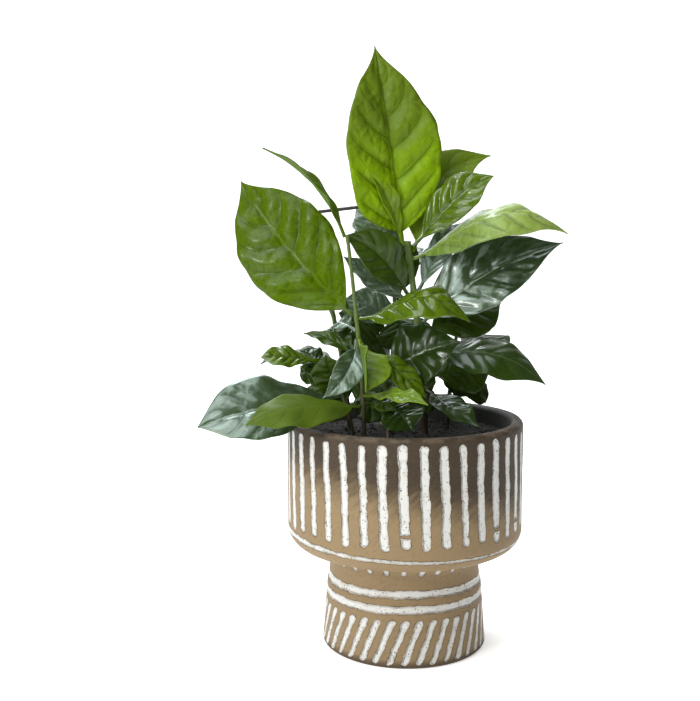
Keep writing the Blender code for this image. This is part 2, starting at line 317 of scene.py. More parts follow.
PAINTED_GROOVE_SHADE = (0.04, 0.027, 0.018)
WORN_RIM = (0.11, 0.08, 0.055)
CHARCOAL = (0.075, 0.077, 0.07)
WHITE_GLAZE = (0.60, 0.59, 0.56)
THIN_GLAZE = (0.42, 0.36, 0.28)
SPECK = (0.09, 0.07, 0.055)


def capsule(across, up, low, high, half):
    """Distance in mm to an upright bar with round ends, below 0 inside it."""
    over = (up - (high - half)).most((low + half) - up).most(0.0)
    return (across * across + over * over).math("SQRT") - half


def row_of_marks(turn, count, radius):
    """Splits the round into marks: how far across each one, in mm, and each one's number."""
    pitch = 2 * math.pi * radius / count
    place = turn * (count / (2 * math.pi)) + 0.5
    return (place.math("FRACT") - 0.5) * pitch, place.math("FLOOR") % float(count)


def stripe_marks(clay, where, turn, z):
    """Distance to the upright stripes. Here and there one is broken a little above its foot."""
    across, number = row_of_marks(turn + (z - STRIPE_MIDDLE) * STRIPE_LEAN, STRIPES, STRIPE_RADIUS)
    across = across + (clay.grain(where, 45, 1) - 0.5) * STRIPE_WANDER
    half = STRIPE_HALF + clay.chance(number, 0.5) * STRIPE_HALF_MORE
    low = STRIPE_LOW + clay.chance(number, 7.5) * STRIPE_LOW_MORE
    high = STRIPE_HIGH - clay.chance(number, 3.5) * STRIPE_HIGH_LESS
    whole = clay.smooth(clay.chance(number, 11.5), WHOLE_SHARE + 0.01, WHOLE_SHARE - 0.01)
    broken = BREAK_HALF - abs(z - (low + BREAK_UP)) - whole * OUT_OF_REACH
    return capsule(across, z, low, high, half).most(broken)


def ring_marks(turn, z):
    """Distance to the ring round the shoulder, thinnest at the front right, and the neck's two."""
    sine, cosine = turn.math("SINE"), turn.math("COSINE")
    level = SHOULDER_RING_UP - cosine * SHOULDER_RING_TILT - sine * SHOULDER_RING_TILT
    half = SHOULDER_RING_HALF - cosine * SHOULDER_RING_THIN_FRONT - sine * SHOULDER_RING_THIN_RIGHT
    nearest = abs(z - level) - half
    wave = (turn * NECK_RING_WAVES + 1.0).math("SINE") * NECK_RING_WAVE
    for up, sway, half in NECK_RINGS:
        nearest = nearest.least(abs(z - (up + wave * sway)) - half)
    return nearest


def dash_marks(clay, turn, z):
    """Distance to the short dashes under the shoulder and the slanted ones round the foot."""
    across, _ = row_of_marks(turn, NECK_DASHES, NECK_DASH_RADIUS)
    neck = capsule(across, z * NECK_DASH_SHORTER, NECK_DASH_LOW * NECK_DASH_SHORTER,
                   NECK_DASH_HIGH * NECK_DASH_SHORTER, NECK_DASH_HALF)
    slant = (z - BASE_ROUND / MM) * (FOOT_DASH_SLANT / FOOT_DASH_RADIUS)
    across, number = row_of_marks(turn - slant, FOOT_DASHES, FOOT_DASH_RADIUS)
    half = FOOT_DASH_HALF + clay.smooth(z, *BLOB_UP) * BLOB
    high = FOOT_DASH_HIGH + clay.chance(number, 5.5) * FOOT_DASH_HIGH_MORE
    foot = capsule(across * FOOT_DASH_WIDER, z, FOOT_DASH_LOW, high, half)
    return neck.least(foot)


def slipped_clay(clay, where, z, sine):
    """Tan clay with brown slip brushed down over its upper half and wiped round its foot."""
    strokes = clay.node("Mapping", {"vector_type": "TEXTURE"}, {
        "Vector": where, "Rotation": (0.0, BRUSH_SLANT, 0.0), "Scale": (1.0, 1.0, BRUSH_STRETCH)})
    brushed = (clay.grain(strokes, 110, 4) - 0.5) * SLIP_BRUSHED
    slip = clay.smooth(z + brushed + sine * SLIP_TILT, *SLIP_UP)
    slip = slip.most(clay.smooth(z, *FOOT_SLIP_UP) * 0.85)
    colour = clay.blend(slip, TAN, BROWN)
    colour = clay.blend(clay.grain(where, 420, 4) * 0.25, colour, MOTTLE)
    streaks = clay.smooth(clay.grain(strokes, 330, 4), 0.48, 0.72)
    colour = clay.blend(streaks * 0.25, colour, DARK_STREAK)
    scratches = clay.smooth(clay.grain(strokes, 900, 2), 0.58, 0.7)
    colour = clay.blend(scratches * 0.25, colour, PALE_SCRATCH)
    worn = clay.smooth(z, *WORN_UP) * clay.smooth(clay.grain(where, 160, 4), 0.44, 0.68)
    return clay.blend(worn, colour, WORN_RIM)


def speckled_glaze(clay, where, apart):
    """White glaze, thin and yellower towards the edge of a mark, with iron specks."""
    thin = clay.smooth(clay.grain(where, 260, 4), 0.5, 0.75).most(clay.smooth(apart, -0.9, -0.1) * 0.6)
    glaze = clay.blend(thin * 0.5, WHITE_GLAZE, THIN_GLAZE)
    dots = clay.node("TexVoronoi", {}, {"Vector": where, "Scale": SPECK_SCALE}, "Distance")
    specks = clay.smooth(dots - clay.grain(where, 300, 1) * 0.46, 0.0, -0.07)
    return clay.blend(specks * 0.85, glaze, SPECK)


def stoneware():
    """The pot's clay, slip, glaze and painted groove shade; a mark's distance says where the glaze lies and
    how deep.
    """
    clay = Finish("stoneware", IOR=1.5, Specular_IOR_Level=0.2)
    where = clay.place()
    x, y, z = clay.axes(where)
    turn = x.math("ARCTAN2", y * -1.0)
    radius = (x * x + y * y).math("SQRT")
    ragged = (clay.grain(where, 150, 3) - 0.5) * RAGGED_COARSE
    ragged = ragged + (clay.grain(where, 520, 2) - 0.5) * RAGGED_FINE
    apart = stripe_marks(clay, where, turn, z).least(ring_marks(turn, z)).least(dash_marks(clay, turn, z))
    apart = apart + ragged * 0.85
    outer = clay.smooth(radius, *RIM_OUTSIDE).most(clay.smooth(z, *BELOW_RIM))
    outer = clay.smooth(radius, *FOOT_OUTSIDE) * outer
    glazed = clay.smooth(apart, 0.18, -0.18) * outer
    edge = clay.smooth(abs(apart - 0.15), 0.6, 0.1) * outer

    colour = slipped_clay(clay, where, z, turn.math("SINE"))
    # Painted shade: a dark line along the edges of the marks, where their grooves lie in shade.
    colour = clay.blend(edge * clay.smooth(clay.grain(where, 170, 2), 0.25, 0.6) * 0.75, colour, PAINTED_GROOVE_SHADE)
    colour = clay.blend(glazed, colour, speckled_glaze(clay, where, apart))
    inside = clay.smooth(radius, *INSIDE_RADIUS) * clay.smooth(z, *INSIDE_UP)
    colour = clay.blend(inside, colour, CHARCOAL)
    clay.feed(Base_Color=colour, Roughness=0.62 - glazed * 0.24 + (clay.grain(where, 700, 2) - 0.5) * 0.15)
    groove = clay.smooth(apart, -1.1, 0.25).most(1.0 - outer)
    clay.relief(groove * 0.8 + clay.grain(where, 900, 3) * 0.12 + glazed * 0.15, RELIEF_DEPTH)
    return clay.material


pot.data.materials.append(stoneware())
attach(pot, "root")
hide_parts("pot")

# The soil: dark potting mix pressed into the pot to 9 mm below its rim. It has dried and drawn
# back a little from the wall, and crumbs of bark and a few pale grains lie on top.
SOIL_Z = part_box("soil")[1].z
SOIL_GAP = 0.4 * MM
SOIL_RINGS = 26
SOIL_AROUND = 160
SOIL_SKIN = 3 * MM
SOIL_LUMPS = 130
LUMP_HEIGHT = 1.1
SHRINK_REACH = 2.4 * MM
SHRINK_DEPTH = 2.2
CRUMBS = 420
DARK_MIX = (0.006, 0.006, 0.005)
DRY_MIX = (0.026, 0.023, 0.019)
PALE_GRAIN = (0.26, 0.23, 0.2)
soil_r = BOWL_R - WALL - SOIL_GAP

soil_rings = [(0, 0, z, r) for r, z in cavity(SOIL_GAP)]
soil_rings += [(0, 0, SOIL_Z - SOIL_SKIN, soil_r)]
soil_rings += [(0, 0, SOIL_Z, soil_r * (1 - ring / SOIL_RINGS) + 0.5 * MM) for ring in range(SOIL_RINGS)]
soil = raise_rings("potting_soil", soil_rings, SOIL_AROUND)
for vert in soil.data.vertices:
    if vert.co.z > SOIL_Z - 1 * MM:
        near_wall = max(0.0, (math.hypot(vert.co.x, vert.co.y) - (soil_r - SHRINK_REACH)) / SHRINK_REACH)
        lumps = noise.noise(vert.co * SOIL_LUMPS) * LUMP_HEIGHT + noise.noise(vert.co * 420) * 0.6
        drawn_back = near_wall * (SHRINK_DEPTH + 2 * noise.noise(vert.co * 150))
        vert.co.z += (lumps - max(0.0, drawn_back)) * MM
bpy.ops.object.select_all(action="DESELECT")
dice = random.Random(8)
crumbs = []
for number in range(CRUMBS):
    turn = dice.uniform(0, 2 * math.pi)
    reach = (soil_r - 3 * MM) * math.sqrt(dice.random())
    at = Vector((reach * math.cos(turn), reach * math.sin(turn), SOIL_Z))
    at.z += (noise.noise(at * SOIL_LUMPS) * LUMP_HEIGHT + 0.2) * MM
    bpy.ops.mesh.primitive_ico_sphere_add(subdivisions=1, radius=dice.uniform(0.3, 1.0) * MM, location=at,
                                          rotation=(dice.uniform(0, 3), dice.uniform(0, 3), 0),
                                          scale=(1, dice.uniform(0.5, 1), dice.uniform(0.4, 0.8)))
    crumbs.append(bpy.context.object)
for piece in crumbs + [soil]:
    piece.select_set(True)
bpy.context.view_layer.objects.active = soil
bpy.ops.object.join()
soil = bpy.context.object
bpy.ops.object.transform_apply(location=True, rotation=True, scale=True)
bpy.ops.object.shade_smooth()


def potting_mix():
    """Nearly black crumbs with a few pale grains among them."""
    mix = Finish("potting_mix", IOR=1.4)
    where = mix.place()
    colour = mix.blend(mix.smooth(mix.grain(where, 260, 4), 0.35, 0.7), DARK_MIX, DRY_MIX)
    pale = mix.smooth(mix.grain(where, 900, 1), 0.68, 0.76)
    colour = mix.blend(pale * 0.7, colour, PALE_GRAIN)
    mix.feed(Base_Color=colour, Roughness=0.9 + mix.grain(where, 500) * 0.1)
    mix.relief(mix.grain(where, 900, 5), 0.8 * MM)
    return mix.material


soil.data.materials.append(potting_mix())
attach(soil, "root")
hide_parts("soil")

# The stems: seven seedlings, woody and brown where they leave the soil and soft green above,
# with a swollen joint wherever a leaf stalk leaves. Each one thins evenly towards its top.
STEM_TAPER = 0.75
STEM_LEAN = 1.5
STEM_RING_STEP = 2.5
STEM_AROUND = 14
JOINT_SWELL = 0.3
JOINT_REACH = 2.2
WOODY_UP = (138.0, 172.0)
TENDER_UP = (190.0, 245.0)
BARK_UNEVEN = 22.0
STEM_BARK = (0.060, 0.038, 0.024)
STEM_GREEN = (0.09, 0.14, 0.018)
TENDER_GREEN = (0.07, 0.12, 0.012)
STEM_STREAK = (0.05, 0.06, 0.02)
# Each stem in mm: its place at the soil, its top and its radius at the soil.
STEMS = {
    "stem_main": ((12, 0), (1, 0, 240), 2.2),
    "stem_left": ((-23, -26), (-33, -24, 243), 1.3),
    "stem_low_left": ((-30, -14), (-46, -16, 171), 1.0),
    "stem_front": ((-9, -38), (-13, -18, 166), 1.2),
    "stem_right": ((26, 14), (34, 24, 200), 1.3),
    "stem_back": ((-4, 28), (-8, 40, 225), 1.3),
    "stem_back_left": ((-34, 14), (-60, 20, 258), 1.4),
}


def stem_rise(name, up):
    """Share of a stem's height above the soil, from a height in mm."""
    return max(0.0, (up - SOIL_Z / MM) / (STEMS[name][1][2] - SOIL_Z / MM))


def stem_point(name, up):
    """Axis of a stem at a height in mm: upright at the soil, leaning towards its top."""
    foot, top, _ = STEMS[name]
    lean = stem_rise(name, up) ** STEM_LEAN
    return Vector((foot[0] + (top[0] - foot[0]) * lean, foot[1] + (top[1] - foot[1]) * lean, up)) * MM


def stem_radius(name, up):
    return STEMS[name][2] * MM * (1 - (1 - STEM_TAPER) * stem_rise(name, up))


# Each leaf in mm: its stem and the height it leaves it, the reach of its tip (right, back, up),
# the way its upper face looks, its width and how far along it is widest, and how far it arches,
# how far it bends sideways, how deep it is folded and its twist in degrees; last, its finish.
LEAVES = {
    "leaf_top": ("main", 239.7, (-17, 6, 114), (0.3, -1, 0.1), (56, 0.43), (3, 0, 8, 0), "painted_backlight"),
    "leaf_top_young": ("main", 238, (-22, -10, 45), (0.5, -0.8, 0.3), (12, 0.5), (1, 3, 3, 0), "young"),
    "leaf_top_fresh": ("main", 237, (46, -8, 40), (-0.3, -0.9, 0.3), (25, 0.55), (3, -3, 2, 0), "fresh"),
    "leaf_top_behind": ("main", 234, (47, 25, 58), (-0.2, -0.9, 0.3), (35, 0.5), (4, -14, 2, 0), "olive"),
    "leaf_grey_behind": ("main", 226, (-31, 18, 35), (0.2, -0.8, 0.5), (28, 0.5), (3, 0, 2, 0), "painted_blue_sheen"),
    "leaf_arching_right": ("main", 230, (87, -15, 14), (-0.2, -0.6, 0.8), (31, 0.53), (21, 0, -5, 0), "pale"),
    "leaf_tall_behind": ("main", 210, (32, 26, 43), (-0.5, -0.8, 0.3), (20, 0.5), (3, -2, 2, 0), "painted_blue_sheen"),
    "leaf_dark_centre": ("main", 207, (-38, -20, 36), (0.3, -0.9, 0.2), (26, 0.5), (3, 5, 3, 0), "dark"),
    "leaf_under_centre": ("main", 204, (-39, -8, 27), (0, -0.7, 0.6), (17, 0.5), (2, -2, 2, 0), "painted_blue_sheen"),
    "leaf_glossy_right": ("main", 192, (81, -4, 47), (-0.1, -0.9, 0.4), (41, 0.43), (4, -5, 3, 0), "waxy"),
    "leaf_veined_left": ("main", 192, (-40, 6, 14), (0, -0.9, 0.4), (22, 0.62), (2, 0, 1, 0), "painted_blue_sheen"),
    "leaf_dark_right_behind": ("main", 186, (48, 20, 17), (0, -0.8, 0.5), (36, 0.5), (3, 0, 2, 0), "dark"),
    "leaf_drooping_right": ("main", 174, (69, -18, -16), (0, -0.65, 0.75), (30, 0.5), (14, 0, -3, 0), "gloss"),
    "leaf_low_right_behind": ("main", 160, (38, 8, 2), (0, -0.8, 0.5), (30, 0.55), (3, 0, 1, 0), "dark"),
    "leaf_rim_right": ("main", 152, (29, -36, -16), (0.2, -0.6, 0.8), (20, 0.5), (3, 3, 2, 0), "gloss"),
    "leaf_left_big": ("left", 197, (-69, 33, 79), (-0.3, -1, 0.2), (57, 0.47), (3, -3, 4, 0), "mid"),
    "leaf_left_narrow": ("left", 242, (-46, 0, 50), (0.7, -0.35, 0.65), (13, 0.42), (8, 0, 2, 25), "mid"),
    "leaf_arching_front": ("left", 196, (61, -23, 0), (0, -0.6, 0.8), (28, 0.59), (17, 0, -4, 0), "fresh"),
    "leaf_dark_back_left": ("left", 189, (-11, 14, 4), (0, -0.8, 0.5), (16, 0.5), (2, 0, 1, 0), "painted_blue_sheen"),
    "leaf_light_folded": ("left", 184, (5, -28, -26), (0.7, -0.7, 0.1), (22, 0.5), (1, 0, 11, 0), "young"),
    "leaf_blue_folded": ("left", 184, (-17, -24, -30), (0.3, -0.9, 0.2), (17, 0.42), (2, -4, 4, 0), "painted_blue_sheen"),
    "leaf_behind_light": ("left", 179, (36, -16, -26), (0.2, -0.8, 0.6), (16, 0.5), (3, 0, 2, 0), "mid"),
    "leaf_dark_left": ("left", 177, (-19, 22, 11), (0, -0.7, 0.6), (13, 0.5), (2, 0, 1, 0), "dark"),
    "leaf_thin_left": ("left", 174, (-31, 6, 13), (0, -0.7, 0.7), (9, 0.45), (2, 2, 1, 0), "dark"),
    "leaf_light_right": ("left", 152, (35, -45, 2), (0.1, -0.6, 0.8), (14, 0.5), (3, 0, 1, 0), "young"),
    "leaf_front_small": ("left", 148, (18, -18, -2), (0, -0.6, 0.8), (12, 0.5), (2, 0, 1, 0), "dark"),
    "leaf_light_low": ("left", 146, (-59, -44, -4), (0.1, -0.6, 0.8), (26, 0.56), (7, 0, -2, 0), "underside"),
    "leaf_quilted": ("low_left", 170.7, (-35, -12, 3), (0, -0.8, 0.6), (14, 0.62), (2, 0, 1, 0), "fresh"),
    "leaf_shiny_left": ("low_left", 164, (-20, 14, 11), (0, -0.6, 0.8), (16, 0.5), (2, 0, 1, 0), "gloss"),
    "leaf_mid_left": ("low_left", 160, (14, 8, 22), (0, -0.8, 0.5), (14, 0.5), (2, 0, 1, 0), "dark"),
    "leaf_oval_left": ("low_left", 152, (-7, -16, 24), (-0.2, -0.9, 0.3), (24, 0.5), (2, 0, 2, 0), "dark"),
    "leaf_dark_low": ("low_left", 150, (-77, -35, -13), (-0.1, -0.8, 0.6), (42, 0.56), (5, 0, 2, 0), "shiny"),
    "leaf_small_low_left": ("low_left", 146, (-22, 4, 20), (0, -0.8, 0.6), (12, 0.5), (2, 0, 1, 0), "dark"),
    "leaf_centre_shiny": ("front", 164, (43, -14, 20), (-0.2, -0.9, 0.4), (38, 0.36), (3, -2, 2, 0), "gloss"),
    "leaf_front_hanging": ("front", 150, (14, -16, -15), (0.1, -0.8, 0.5), (28, 0.5), (3, 0, 2, 0), "gloss"),
    "leaf_back_1": ("back", 222, (-26, 48, 26), (0, 0.4, 0.9), (38, 0.45), (8, 0, 3, 0), "dark"),
    "leaf_back_2": ("back", 214, (34, 56, 18), (0.2, 0.4, 0.9), (38, 0.45), (10, 0, 3, 0), "dark"),
    "leaf_back_3": ("back", 186, (-12, 66, 0), (0, 0.4, 0.9), (42, 0.45), (12, 0, 3, 0), "dark"),
    "leaf_back_4": ("back", 160, (28, 58, -12), (0.2, 0.4, 0.9), (36, 0.45), (10, 0, 2, 0), "dark"),
    "leaf_fill_4": ("back", 204, (11, -8, 36), (0, -0.9, 0.3), (14, 0.5), (2, 0, 1, 0), "dark"),
    "leaf_fill_3": ("back", 196, (8, -16, -24), (0, -0.9, 0.3), (34, 0.5), (4, 0, 2, 0), "dark"),
    "leaf_fill_2": ("back", 158, (12, -16, -18), (0.1, -0.9, 0.3), (34, 0.5), (4, 0, 2, 0), "dark"),
    "leaf_fill_1": ("back", 178, (-28, -24, -6), (-0.1, -0.9, 0.4), (32, 0.5), (4, 0, 2, 0), "dark"),
    "leaf_back_left_1": ("back_left", 248, (-20, 50, -8), (-0.3, 0.3, 0.9), (34, 0.45), (8, 0, 3, 0), "dark"),
    "leaf_back_left_2": ("back_left", 196, (-24, 56, 4), (0, 0.4, 0.9), (34, 0.45), (9, 0, 2, 0), "dark"),
    "leaf_back_left_3": ("back_left", 162, (-54, 30, 0), (-0.4, 0.2, 0.9), (32, 0.45), (8, 0, 2, 0), "dark"),
    "leaf_fill_5": ("back_left", 150, (32, -16, -10), (0.1, -0.9, 0.4), (34, 0.5), (4, 0, 2, 0), "dark"),
    "leaf_back_right_1": ("right", 198, (38, 52, 16), (0.3, 0.4, 0.9), (38, 0.45), (10, 0, 3, 0), "dark"),
    "leaf_back_right_2": ("right", 176, (34, 44, -10), (0.4, 0.3, 0.9), (30, 0.45), (10, 0, 2, 0), "dark"),
    "leaf_fill_6": ("main", 150, (-14, -20, -8), (0, -0.8, 0.5), (26, 0.5), (3, 0, 2, 0), "dark"),
}
# Small leaves low in the shade of the others, with no solid of their own.
SHADED_LEAVES = {
    "leaf_shaded_1": ("back", 184, (-34, -4, 12), (0, -0.9, 0.4), (28, 0.5), (3, 0, 2, 0), "dark"),
    "leaf_shaded_2": ("back", 142, (-22, -8, 8), (0, -0.9, 0.4), (20, 0.5), (2, 0, 1, 0), "dark"),
    "leaf_shaded_3": ("back_left", 190, (16, -6, 14), (0, -0.9, 0.4), (16, 0.5), (2, 0, 1, 0), "dark"),
    "leaf_shaded_4": ("back_left", 138, (-24, 4, 12), (0, -0.9, 0.4), (22, 0.5), (2, 0, 1, 0), "dark"),
    "leaf_shaded_5": ("right", 146, (22, 10, 6), (0, -0.9, 0.4), (24, 0.5), (3, 0, 1, 0), "dark"),
    "leaf_shaded_6": ("right", 138, (-14, 2, 4), (0, -0.9, 0.4), (16, 0.5), (2, 0, 1, 0), "dark"),
    "leaf_shaded_7": ("low_left", 142, (16, 6, 26), (0, -0.9, 0.4), (22, 0.5), (2, 0, 1, 0), "dark"),
    "leaf_shaded_8": ("low_left", 156, (-22, 10, 10), (0, -0.9, 0.4), (16, 0.5), (2, 0, 1, 0), "dark"),
    "leaf_shaded_9": ("low_left", 139, (-8, 4, 18), (0, -0.9, 0.4), (18, 0.5), (2, 0, 1, 0), "dark"),
    "leaf_shaded_10": ("low_left", 158, (15, 8, 15), (0, -0.9, 0.4), (16, 0.5), (2, 0, 1, 0), "dark"),
    "leaf_shaded_11": ("right", 158, (-12, -4, 24), (0, -0.9, 0.4), (24, 0.5), (3, 0, 1, 0), "dark"),
    "leaf_shaded_12": ("right", 142, (8, -4, 20), (0, -0.9, 0.4), (22, 0.5), (3, 0, 1, 0), "dark"),
}
LEAVES.update(SHADED_LEAVES)


def swelling(name, up):
    """How much thicker a stem is near the joints its leaves leave it at."""
    joints = [leaf[1] for leaf in LEAVES.values() if "stem_" + leaf[0] == name]
    return 1 + JOINT_SWELL * max(math.exp(-((up - joint) / JOINT_REACH) ** 2) for joint in joints)


def stem_skin():
    """Brown bark low down, green above it, finely streaked along the stem."""
    bark = Finish("stem_skin", IOR=1.45)
    where = bark.place()
    height = bark.axes(where)[2] + (bark.grain(where, 90, 2) - 0.5) * BARK_UNEVEN
    colour = bark.blend(bark.smooth(height, *WOODY_UP), STEM_BARK, STEM_GREEN)
    colour = bark.blend(bark.smooth(height, *TENDER_UP), colour, TENDER_GREEN)
    streaks = bark.node("Mapping", {}, {"Vector": where, "Scale": (1.0, 1.0, 0.15)})
    grain = bark.grain(streaks, 1100, 3)
    colour = bark.blend(grain * 0.5, colour, STEM_STREAK)
    bark.feed(Base_Color=colour, Roughness=0.42 + grain * 0.2)
    bark.relief(grain, 0.3 * MM)
    return bark.material


stem_green = stem_skin()
for name in STEMS:
    low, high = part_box(name)[0].z / MM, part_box(name)[1].z / MM
    count = int((high - low) / STEM_RING_STEP)
    heights = [low + (high - low) * step / count for step in range(count + 1)]
    rings = [(*stem_point(name, up), stem_radius(name, up) * swelling(name, up)) for up in heights]
    stem = raise_rings(name + "_grown", rings, STEM_AROUND)
    stem.data.shade_smooth()
    stem.data.materials.append(stem_green)
    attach(stem, "root")
    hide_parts(name)

# The twig: a dry bare side shoot, straight and nearly black, standing out level behind the
# narrow leaf from the top of the back left seedling. It is a little knotty along its length.
TWIG_FROM = Vector((-58.2, 19.4, 257.6)) * MM
TWIG_TO = Vector((-28, 0, 260)) * MM
TWIG_R = 1.0 * MM
TWIG_RINGS = 14
TWIG_AROUND = 12
KNOTS = 0.08
KNOT_TURN = 2.3
BARK_BLACK = (0.012, 0.01, 0.009)
BARK_GREY = (0.05, 0.04, 0.035)
twig_reach = TWIG_TO - TWIG_FROM
twig_rings = [(0, 0, twig_reach.length * ring / TWIG_RINGS, TWIG_R * (1 + KNOTS * math.sin(ring * KNOT_TURN)))
              for ring in range(TWIG_RINGS + 1)]
twig = raise_rings("dry_twig", twig_rings, TWIG_AROUND)
twig.rotation_euler = twig_reach.to_track_quat("Z", "Y").to_euler()
twig.location = TWIG_FROM
bpy.ops.object.select_all(action="DESELECT")
twig.select_set(True)
bpy.ops.object.transform_apply(location=True, rotation=True, scale=True)
twig.data.shade_smooth()


def dry_bark():
    """Grey and black bark, rough and matt."""
    bark = Finish("dry_bark", IOR=1.45)
    grain = bark.grain(bark.place(), 800, 4)
    bark.feed(Base_Color=bark.blend(grain, BARK_BLACK, BARK_GREY), Roughness=0.6 + grain * 0.3)
    bark.relief(grain, 0.4 * MM)
    return bark.material


twig.data.materials.append(dry_bark())
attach(twig, "root")
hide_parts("twig")

# The leaves: thin leathery blades on short stalks, in pairs up each stem. A blade is pointed
# with a drip tip, folded a little along its midrib and quilted between six or so pairs of
# side veins that are sunk in its glossy upper face; its underside is paler and matt.
BLADE_THICKNESS = 0.5 * MM
STALK_THICKNESS = 1.5 * MM
BLADE_ACROSS = 24
BLADE_ALONG = 76
PETIOLE = 6 * MM
PETIOLE_WIDTH = 1.8 * MM
TIP_WIDTH = 0.6 * MM
GAP = 0.4 * MM
TAPER = 2.1
DRIP = 0.4
DRIP_FROM = 0.82
BEND_BEYOND = 0.08
HEADING_STEP = 0.02
VEIN_PAIRS = 6
VEIN_SLANT = 0.22
VEIN_CURVE = 1.4
VEIN_OFFSET = 0.35
QUILT = 2.2 * MM
PUCKER = 0.35
PUCKER_SCALE = 120
EDGE_WAVE = 1.0 * MM
WAVES = 2.5
RIPPLE = 1.1 * MM
RIPPLE_TURN = 23
RIPPLE_OTHER_SIDE = 1.7
RIPPLE_NEXT_LEAF = 2.1
SCALLOP = 0.025
MIDRIB_SUNK = 0.35 * MM
MIDRIB_NARROW = 9
RIB_WIDTH = 1.2 * MM
RIB_SHARE = 0.7
FULL_QUILT_WIDTH = 50
NET_SCALE = 150.0
GREENISH = (0.8, 1.0, 0.92, 1.0)
# A pale blue-grey for the painted sheen patches, which stand for reflected light.
PAINTED_SHEEN_COLOUR = (0.27, 0.34, 0.29)
# How much fuller a blade is beside its stalk, on its left and on its right.
BULGE = {
    "leaf_top": (1.8, 0.4),
    "leaf_arching_right": (1, 1),
    "leaf_arching_front": (2, 2),
    "leaf_light_low": (1.5, 1.5),
}
BULGE_POWER = 8


def blade_width(t, widest):
    """Half-width share of a blade: pointed at its stalk, widest at its own place, with a drip tip."""
    most = widest ** (TAPER * widest) * (1 - widest) ** (TAPER * (1 - widest))
    drip = 1 - DRIP * max(0.0, (t - DRIP_FROM) / (1 - DRIP_FROM))
    return t ** (TAPER * widest) * (1 - t) ** (TAPER * (1 - widest)) / most * drip


def bend_share(u, widest):
    """Share of a blade's whole bend at a place along it: none at its ends."""
    peak = widest + BEND_BEYOND
    power = peak / (1 - peak)
    return u ** power * (1 - u) / (peak ** power * (1 - peak))


def between_veins(side, t):
    """0 on a side vein, 1 half way between two."""
    phase = VEIN_PAIRS * (t - VEIN_SLANT * abs(side) ** VEIN_CURVE) + (VEIN_OFFSET if side > 0 else 0)
    return abs(math.sin(math.pi * phase))


def quilting(side, t):
    """Height share of the blade between its side veins: 0 on a vein, at the midrib and at the edge."""
    across = min(1.0, abs(side) * 6) * (1 - abs(side) ** 4)
    return between_veins(side, t) ** 0.8 * across * min(1.0, 8 * t * (1 - t))


def leaf_axes(reach, face):
    """Unit vectors along a blade, across it and out of its upper face."""
    along = reach.normalized()
    out = (face - along * face.dot(along)).normalized()
    return along, along.cross(out), out


def leaf_start(stem, up, reach, across, out):
    """Where a stalk begins: just clear of its stem, on the side its leaf reaches to."""
    away = Vector((reach.x, reach.y, 0)).normalized()
    clear = stem_radius(stem, up) + GAP
    clear += abs(across.dot(away)) * PETIOLE_WIDTH / 2 + abs(out.dot(away)) * BLADE_THICKNESS / 2
    return stem_point(stem, up) + away * clear


